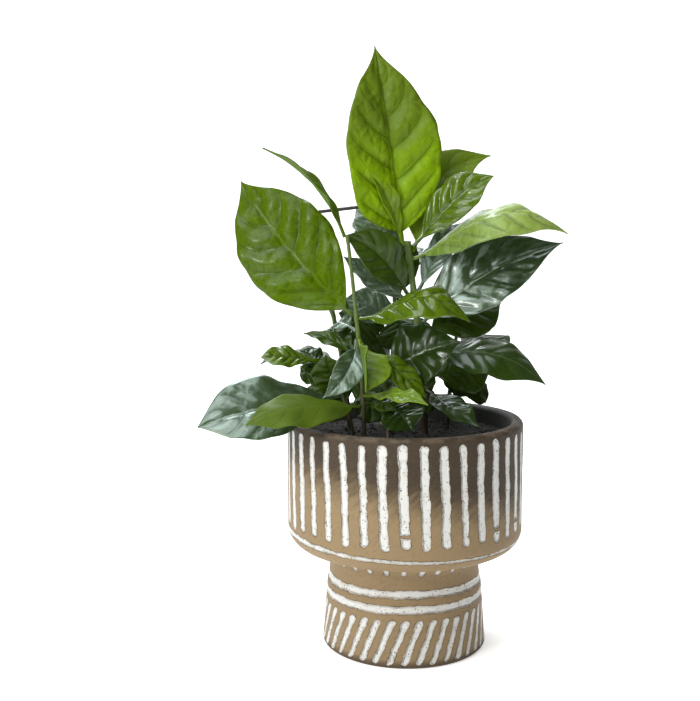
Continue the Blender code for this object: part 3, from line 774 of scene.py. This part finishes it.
def grow_leaf(name, number):
    """One leaf from its row: a grid laid along the blade, shaped point by point and thickened."""
    grown_from, up, tip, face, (width, widest), (arch, sway, fold, twist), finish = LEAVES[name]
    reach = Vector(tip) * MM
    along, across, out = leaf_axes(reach, Vector(face))
    start = leaf_start("stem_" + grown_from, up, reach, across, out)
    stalk = PETIOLE / reach.length
    bend = (across * sway + out * arch) * MM
    left, right = BULGE.get(name, (0, 0))
    size = min(1.0, width / FULL_QUILT_WIDTH + 0.2)
    quilt = QUILT * LEAF_FINISHES[finish]["quilting"]

    def midrib(u):
        return start + reach * u + bend * bend_share(u, widest)

    bpy.ops.object.select_all(action="DESELECT")
    bpy.ops.mesh.primitive_grid_add(x_subdivisions=BLADE_ACROSS, y_subdivisions=BLADE_ALONG, size=2)
    leaf = bpy.context.object
    leaf.name = name + "_grown"
    places = [(vert.co.x, (vert.co.y + 1) / 2) for vert in leaf.data.vertices]
    chart = leaf.data.uv_layers.active.data
    for corner in leaf.data.loops:
        side, u = places[corner.vertex_index]
        chart[corner.index].uv = (side / 2 + 0.5, max(0.0, (u - stalk) / (1 - stalk)))
    ribs = leaf.vertex_groups.new(name="ribs")
    for vert, (side, u) in zip(leaf.data.vertices, places):
        t = max(0.0, (u - stalk) / (1 - stalk))
        heading = (midrib(min(1.0, u + HEADING_STEP)) - midrib(max(0.0, u - HEADING_STEP))).normalized()
        wide = (across - heading * across.dot(heading)).normalized()
        wide.rotate(Quaternion(heading, math.radians(twist * t)))
        narrow = PETIOLE_WIDTH + (TIP_WIDTH - PETIOLE_WIDTH) * u
        fuller = 1 + (right if side > 0 else left) * (1 - t) ** BULGE_POWER
        fuller += SCALLOP * (between_veins(math.copysign(1, side), t) - 0.6)
        half = max(narrow, width * MM * blade_width(t, widest) * fuller) / 2
        opening = half / (width * MM / 2)
        past_stalk = min(1.0, 6 * t)
        shift = RIPPLE_NEXT_LEAF * number + (RIPPLE_OTHER_SIDE if side > 0 else 0)
        ripple = RIPPLE * abs(side) ** 3 * math.sin(RIPPLE_TURN * t + shift)
        pucker = noise.noise(Vector((side * half, t * reach.length, number * MM)) * PUCKER_SCALE) * past_stalk
        lift = (abs(side) * fold * MM + side * EDGE_WAVE * math.sin(2 * math.pi * WAVES * t)) * opening
        lift += (ripple + quilt * (quilting(side, t) + PUCKER * pucker)) * opening * size
        lift -= MIDRIB_SUNK * math.exp(-(side * MIDRIB_NARROW) ** 2) * past_stalk
        vert.co = midrib(u) + wide * side * half + wide.cross(heading) * lift
        rib = math.exp(-(side * half / RIB_WIDTH) ** 2) * (1 - t) * RIB_SHARE
        ribs.add([vert.index], max(rib, 1 - t / stalk if t < stalk else 0.0), "REPLACE")
    skin = leaf.modifiers.new("Blade", "SOLIDIFY")
    skin.thickness = STALK_THICKNESS
    skin.vertex_group = ribs.name
    skin.thickness_vertex_group = BLADE_THICKNESS / STALK_THICKNESS
    skin.offset = 0
    skin.material_offset = 1
    leaf.data.materials.append(UPPER[finish])
    leaf.data.materials.append(UNDER[finish])
    bpy.ops.object.modifier_apply(modifier="Blade")
    leaf.data.shade_smooth()
    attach(leaf, "root")
    if name in SHADED_LEAVES:
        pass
    else:
        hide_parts(name)


def blade_chart(blade):
    """Places on a blade: across it from -1 to 1, along it from 0 to 1, and its side veins' phase."""
    chart = blade.node("UVMap", {}, {})
    side = blade.node("SeparateXYZ", {}, {"Vector": chart}, "X") * 2.0 - 1.0
    t = blade.node("SeparateXYZ", {}, {"Vector": chart}, "Y")
    phase = (t - abs(side) ** VEIN_CURVE * VEIN_SLANT) * float(VEIN_PAIRS)
    return side, t, phase + blade.smooth(side, -0.001, 0.001) * VEIN_OFFSET


def apart_from_vein(phase):
    """How far a place is from its nearest side vein: 0 on it, 0.5 half way to the next."""
    return abs((phase + 0.5).math("FRACT") - 0.5)


def shade(colour, share):
    """The same colour, darker."""
    return tuple(share * part for part in colour)


def upper_face(name, look):
    """The upper face: green, with sunk side veins, a midrib, a waxy shine, painted shade by the veins and, on
    some finishes, painted sheen patches.
    """
    blade = Finish("leaf_upper_" + name, IOR=1.5, Specular_IOR_Level=look["sheen"],
                   Coat_Roughness=0.5 * look["rough"], Specular_Tint=GREENISH)
    where = blade.place()
    side, t, phase = blade_chart(blade)
    off = abs(side)
    phase = phase + (blade.grain(where, 60, 2) - 0.5) * 0.16
    from_vein = apart_from_vein(phase)
    fade = blade.smooth(off, 0.97, 0.7) * blade.smooth(t, 0.99, 0.9)
    veins = blade.smooth(from_vein, 0.035, 0.01) * fade
    shaded = blade.smooth(from_vein, 0.2, 0.02) * fade
    net = blade.node("TexVoronoi", {"feature": "DISTANCE_TO_EDGE"}, {"Vector": where, "Scale": NET_SCALE})
    fine = blade.smooth(net, 0.1, 0.0)
    pillow = blade.smooth(net, 0.0, 0.4)
    cloud = blade.grain(where, 45, 3)
    marked = min(1.0, 0.2 + look["quilting"])
    colour = blade.blend(blade.smooth(t + (cloud - 0.5) * 0.4, 0.25, 0.65), look["green"], look["tip"])
    colour = blade.blend(blade.smooth(cloud, 0.35, 0.7) * 0.3, colour, shade(look["green"], 0.6))
    # Painted shade: the green is darker beside each sunk side vein, in its crease.
    colour = blade.blend(shaded * 0.45 * marked, colour, shade(look["green"], 0.5))
    colour = blade.blend((veins * 0.55).most(fine * 0.22) * marked, colour, look["vein"])
    # Painted sheen: pale blue-grey patches between the side veins stand for reflected light, with their own
    # shares at the base and at the tip.
    if "painted_sheen" in look:
        at_base, at_tip = look["painted_sheen"]
        along = blade.node("CombineXYZ", {}, {"X": phase * 1.3, "Y": side * 1.6, "Z": t})
        painted_sheen_patches = blade.smooth(blade.grain(along, 1.6, 3), 0.46, 0.62) * blade.smooth(from_vein, 0.06, 0.28)
        share = blade.smooth(t, 0.3, 0.7) * (at_tip - at_base) + at_base
        colour = blade.blend(painted_sheen_patches * share, colour, PAINTED_SHEEN_COLOUR)
    colour = blade.blend(blade.smooth(off, 0.03, 0.01) * 0.6, colour, look["midrib"])
    blade.feed(Base_Color=colour, Roughness=look["rough"] + (blade.grain(where, 400, 2) - 0.5) * 0.12,
               Coat_Weight=blade.smooth(blade.grain(where, 70, 2), 0.3, 0.6) * look["wax"])
    pores = blade.grain(where, 260, 3) * (0.15 - 0.1 * look["wax"])
    blade.relief((1.0 - veins) * 0.4 * marked + pillow * 0.4 * look["quilting"] + pores, 1 * MM)
    return blade.material


def under_face(name, look):
    """The underside: paler and matt, with the veins standing out."""
    blade = Finish("leaf_under_" + name, IOR=1.4, Roughness=0.55)
    side, t, phase = blade_chart(blade)
    off = abs(side)
    side_veins = blade.smooth(apart_from_vein(phase), 0.07, 0.015) * blade.smooth(off, 0.95, 0.6)
    veins = side_veins.most(blade.smooth(off, 0.06, 0.02))
    cloud = blade.grain(blade.place(), 60, 3)
    colour = blade.blend(cloud * 0.5, look["under"], shade(look["under"], 0.65))
    blade.feed(Base_Color=blade.blend(veins * 0.5, colour, look["vein"]))
    blade.relief(veins, 0.3 * MM)
    return blade.material


# The finishes of leaves of different ages: greens at the base and towards the tip of the upper
# face, of veins, midrib and underside; how rough, waxy and quilted a blade is and how strong its
# sheen is; and, where pale blue-grey painted sheen patches lie between the veins, their share at
# the base and at the tip. Some greens are painted light: the top leaf's bright yellow-green low
# down is painted light shining through it, its greyer olive tip is partly painted sheen and its
# darker midrib is painted shade. The blue-grey of the bluish finish, the paler base of the waxy one
# and the lighter tip of the shiny one are painted sheen, and the pale finish's light tip is painted
# sheen, its blade darker towards the base.
LEAF_FINISHES = {
    # Painted light: bright yellow-green low on the blade for light shining through it, greyer olive at the tip
    # partly for sheen, and a darker midrib for shade in its groove.
    "painted_backlight": dict(green=(0.165, 0.275, 0.001), tip=(0.088, 0.132, 0.008), vein=(0.085, 0.155, 0.001),
                    midrib=(0.04, 0.08, 0.002), under=(0.14, 0.23, 0.012),
                    rough=0.5, wax=0.12, quilting=1.5, sheen=0.08),
    "fresh": dict(green=(0.057, 0.101, 0.001), tip=(0.070, 0.119, 0.001), vein=(0.11, 0.18, 0.02),
                  midrib=(0.12, 0.19, 0.02), under=(0.11, 0.17, 0.02),
                  rough=0.24, wax=0.9, quilting=1.2, sheen=0.04),
    # Painted sheen: the pale tip stands for light caught on the arch; the blade is darker towards its base.
    "pale": dict(green=(0.11, 0.17, 0.02), tip=(0.22, 0.30, 0.055), vein=(0.28, 0.37, 0.12),
                 midrib=(0.30, 0.38, 0.14), under=(0.06, 0.12, 0.012),
                 rough=0.42, wax=0.4, quilting=0.8, sheen=0.3),
    "mid": dict(green=(0.062, 0.110, 0.0005), tip=(0.058, 0.100, 0.001), vein=(0.10, 0.165, 0.01),
                midrib=(0.080, 0.135, 0.004), under=(0.08, 0.14, 0.012),
                rough=0.42, wax=0.35, quilting=1.5, sheen=0.03),
    "olive": dict(green=(0.115, 0.175, 0.006), tip=(0.105, 0.16, 0.006), vein=(0.13, 0.195, 0.015),
                  midrib=(0.13, 0.19, 0.015), under=(0.08, 0.14, 0.012),
                  rough=0.55, wax=0.05, quilting=0.4, sheen=0.1),
    "young": dict(green=(0.135, 0.215, 0.006), tip=(0.12, 0.195, 0.005), vein=(0.18, 0.27, 0.03),
                  midrib=(0.19, 0.28, 0.03), under=(0.10, 0.17, 0.02),
                  rough=0.4, wax=0.25, quilting=0.5, sheen=0.15),
    "underside": dict(green=(0.082, 0.128, 0.008), tip=(0.078, 0.122, 0.008), vein=(0.09, 0.14, 0.012),
                      midrib=(0.10, 0.15, 0.015), under=(0.03, 0.06, 0.008),
                      rough=0.5, wax=0.08, quilting=0.1, sheen=0.1),
    # Painted sheen: the blue-grey greens stand for reflected light.
    "painted_blue_sheen": dict(green=(0.055, 0.090, 0.040), tip=(0.065, 0.102, 0.050), vein=(0.11, 0.15, 0.05),
                   midrib=(0.12, 0.17, 0.06), under=(0.05, 0.085, 0.025),
                   rough=0.34, wax=0.6, quilting=0.35, sheen=0.7, painted_sheen=(0.5, 0.5)),
    # Painted sheen: the lighter, bluer tip stands for reflected light.
    "shiny": dict(green=(0.022, 0.044, 0.008), tip=(0.038, 0.064, 0.018), vein=(0.03, 0.06, 0.016),
                  midrib=(0.08, 0.125, 0.05), under=(0.03, 0.06, 0.012),
                  rough=0.32, wax=0.7, quilting=0.45, sheen=0.9, painted_sheen=(0.05, 0.45)),
    # Painted sheen: the paler, bluer green at the base stands for reflected light.
    "waxy": dict(green=(0.040, 0.066, 0.026), tip=(0.016, 0.032, 0.005), vein=(0.05, 0.08, 0.03),
                 midrib=(0.10, 0.145, 0.06), under=(0.03, 0.06, 0.012),
                 rough=0.3, wax=0.9, quilting=0.6, sheen=0.45, painted_sheen=(1.0, 0.1)),
    "gloss": dict(green=(0.018, 0.038, 0.003), tip=(0.020, 0.041, 0.004), vein=(0.04, 0.07, 0.015),
                  midrib=(0.09, 0.13, 0.05), under=(0.025, 0.05, 0.008),
                  rough=0.36, wax=0.8, quilting=0.4, sheen=0.08),
    "dark": dict(green=(0.030, 0.058, 0.002), tip=(0.032, 0.060, 0.003), vein=(0.045, 0.08, 0.006),
                 midrib=(0.05, 0.085, 0.012), under=(0.025, 0.05, 0.008),
                 rough=0.38, wax=0.35, quilting=0.55, sheen=0.12),
}
UPPER = {name: upper_face(name, look) for name, look in LEAF_FINISHES.items()}
UNDER = {name: under_face(name, look) for name, look in LEAF_FINISHES.items()}
for number, name in enumerate(LEAVES):
    grow_leaf(name, number)

# The studio: a pale paper sweep, flat under the pot and curved up far behind it, which glows a
# little so that it stays white. A big soft box stands up to the front left with a small bright
# one beside it, and two more hang overhead and at the back left.
SWEEP = 5.0
SWEEP_BACK = 2.4
SWEEP_BEND = 1.0
TOUCHING = 0.01
GLOW_NEAR = (0.5, 0.5, 0.5)
GLOW_FAR = (0.8, 0.8, 0.8)
GLOW_FADE = (150.0, 900.0)
PAPER_WHITE = (0.9, 0.9, 0.895)
PAPER_GREY = (0.88, 0.88, 0.875)
bpy.ops.object.select_all(action="DESELECT")
bpy.ops.mesh.primitive_plane_add(size=SWEEP, location=(0, SWEEP_BACK - SWEEP / 2, 0))
sweep = bpy.context.object
sweep.name = "studio_sweep"
bpy.ops.object.transform_apply(location=True, rotation=True, scale=True)
bpy.ops.object.mode_set(mode="EDIT")
bpy.ops.mesh.select_mode(type="EDGE")
bpy.ops.object.mode_set(mode="OBJECT")


def pick_back_edge():
    """Selects the edge along the back of the floor, in edit mode."""
    bpy.ops.object.mode_set(mode="EDIT")
    bpy.ops.mesh.select_all(action="DESELECT")
    bpy.ops.object.mode_set(mode="OBJECT")
    for line in sweep.data.edges:
        ends = [sweep.data.vertices[end].co for end in line.vertices]
        line.select = all(end.y > SWEEP_BACK - TOUCHING and end.z < TOUCHING for end in ends)
    bpy.ops.object.mode_set(mode="EDIT")


pick_back_edge()
bpy.ops.mesh.extrude_region_move(TRANSFORM_OT_translate={"value": (0, 0, SWEEP)})
bpy.ops.object.mode_set(mode="OBJECT")
pick_back_edge()
bpy.ops.mesh.bevel(offset=SWEEP_BEND, segments=24)
bpy.ops.object.mode_set(mode="OBJECT")
sweep.data.shade_smooth()
paper = Finish("pale_paper", Roughness=0.95, Emission_Strength=1.0)
where = paper.place()
x, y, z = paper.axes(where)
far = paper.smooth((x * x + y * y).math("SQRT"), *GLOW_FADE)
paper.feed(Base_Color=paper.blend(paper.grain(where, 6, 1), PAPER_GREY, PAPER_WHITE),
           Emission_Color=paper.blend(far, GLOW_NEAR, GLOW_FAR))
sweep.data.materials.append(paper.material)

LIT_POINT = Vector((0, 0, 0.2))
AIR_GLOW = 0.12


def soft_box(name, at, size, watts, tint):
    """A square lamp of a size in metres, turned towards the middle of the plant."""
    bpy.ops.object.light_add(type="AREA", location=at)
    lamp = bpy.context.object
    lamp.name = name
    lamp.data.shape = "SQUARE"
    lamp.data.size = size
    lamp.data.energy = watts
    lamp.data.color = tint
    lamp.rotation_euler = (LIT_POINT - Vector(at)).to_track_quat("-Z", "Y").to_euler()


soft_box("front_left_box", (-0.95, -1.1, 0.9), 1.2, 16, (0.99, 1.0, 0.97))
soft_box("small_window", (-1.0, -1.15, 0.85), 0.22, 5, (0.99, 1.0, 0.98))
soft_box("overhead_box", (-0.3, -0.35, 1.2), 0.8, 9, (0.92, 0.97, 1.0))
soft_box("back_left_box", (-0.35, 0.75, 1.15), 0.7, 16, (0.9, 0.96, 1.0))
sky = bpy.data.worlds.new("white_air")
sky.use_nodes = True
sky.node_tree.nodes["Background"].inputs["Color"].default_value = (1, 1, 1, 1)
sky.node_tree.nodes["Background"].inputs["Strength"].default_value = AIR_GLOW
bpy.context.scene.world = sky
bpy.context.scene.view_settings.view_transform = "Standard"

# The camera: in front of the plant at the height of its middle, turned a little to the left and
# tipped down.
CAMERA_BACK = 0.577
CAMERA_UP = 0.231
CAMERA_DOWN = math.radians(5.5)
CAMERA_LEFT = math.radians(3.25)
camera = bpy.data.objects.new("camera", bpy.data.cameras.new("camera"))
bpy.context.scene.collection.objects.link(camera)
camera.data.lens = 50
camera.location = (0, -CAMERA_BACK, CAMERA_UP)
camera.rotation_euler = (math.pi / 2 - CAMERA_DOWN, 0, CAMERA_LEFT)
bpy.context.scene.camera = camera
